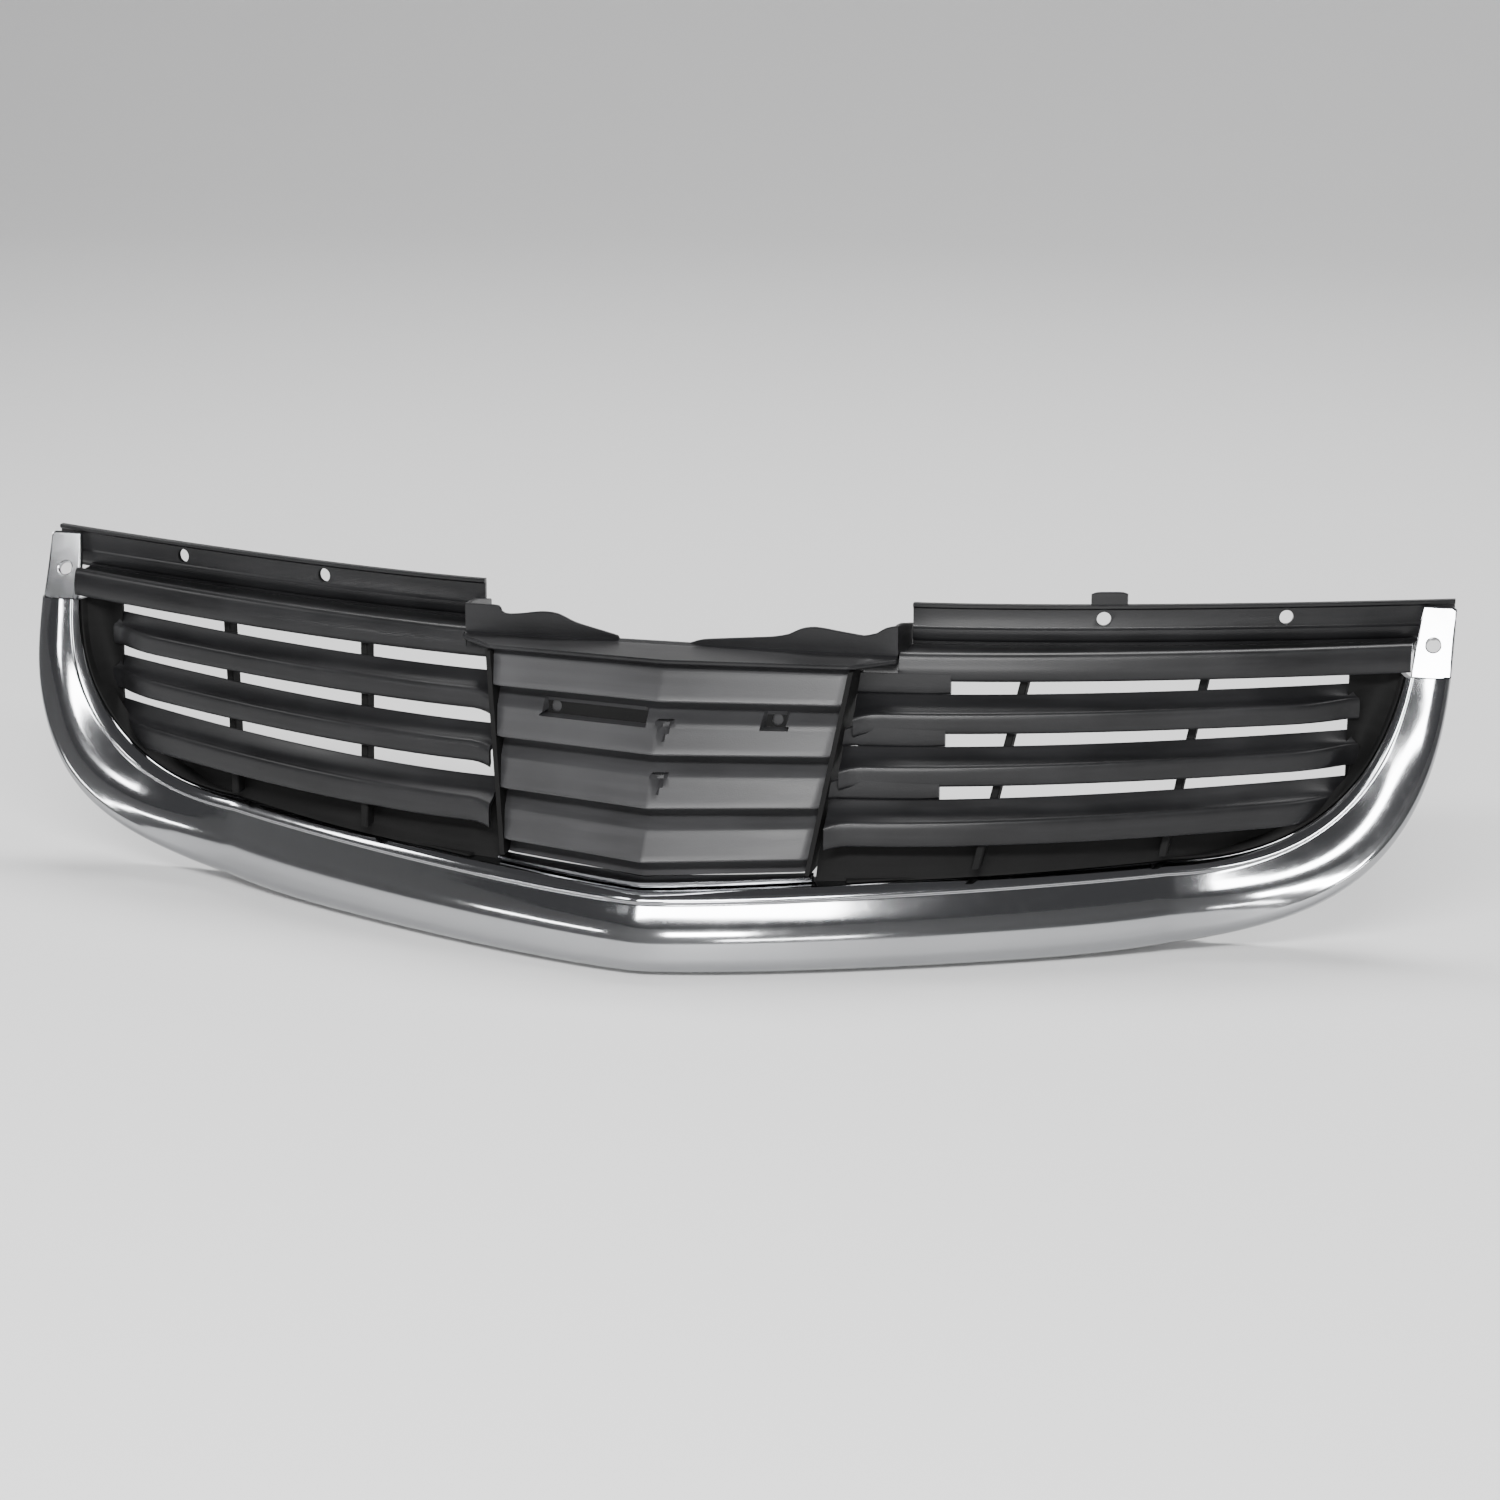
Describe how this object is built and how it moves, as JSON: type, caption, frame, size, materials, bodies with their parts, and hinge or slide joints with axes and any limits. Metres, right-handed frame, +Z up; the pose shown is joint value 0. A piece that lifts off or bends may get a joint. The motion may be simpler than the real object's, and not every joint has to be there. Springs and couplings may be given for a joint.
{
  "type": "car front grille",
  "caption": "Swept car front grille: a dark louvred insert with a stepped V-shaped centre panel, held in a bright U-shaped surround.",
  "frame": {"origin": "middle of the part's width and depth, level with the lowest edge of the surround", "axes": "+X along the car's width, towards the side with the single tab; -Y towards the front of the car; +Z up"},
  "size_m": [0.94, 0.2488, 0.216],
  "materials": {
    "bright_chrome": "bright chrome plating on plastic",
    "black_plastic": "satin black moulded plastic",
    "grey_plastic": "satin dark grey moulded plastic",
    "zinc_steel": "zinc-plated steel"
  },
  "bodies": {
    "root": {"chrome_surround": "bright_chrome", "surround_ear_left": "bright_chrome", "surround_ear_right": "bright_chrome", "top_flange_left": "black_plastic", "top_flange_right": "black_plastic", "top_rail_left": "black_plastic", "top_rail_right": "black_plastic", "centre_bridge": "black_plastic", "centre_panel": "grey_plastic", "centre_ledge": "bright_chrome", "centre_cheek_left": "black_plastic", "centre_cheek_right": "black_plastic", "slat_left_1": "black_plastic", "slat_left_2": "black_plastic", "slat_left_3": "black_plastic", "slat_right_1": "black_plastic", "slat_right_2": "black_plastic", "slat_right_3": "black_plastic", "rib_left_inner": "black_plastic", "rib_left_outer": "black_plastic", "rib_right_inner": "black_plastic", "rib_right_outer": "black_plastic", "end_cheek_left": "black_plastic", "end_cheek_right": "black_plastic", "lower_baffle_left": "black_plastic", "lower_baffle_right": "black_plastic", "lower_carrier_left": "black_plastic", "lower_carrier_right": "black_plastic", "surround_screws": "zinc_steel", "lower_tabs": "black_plastic"}
  },
  "joints": []
}
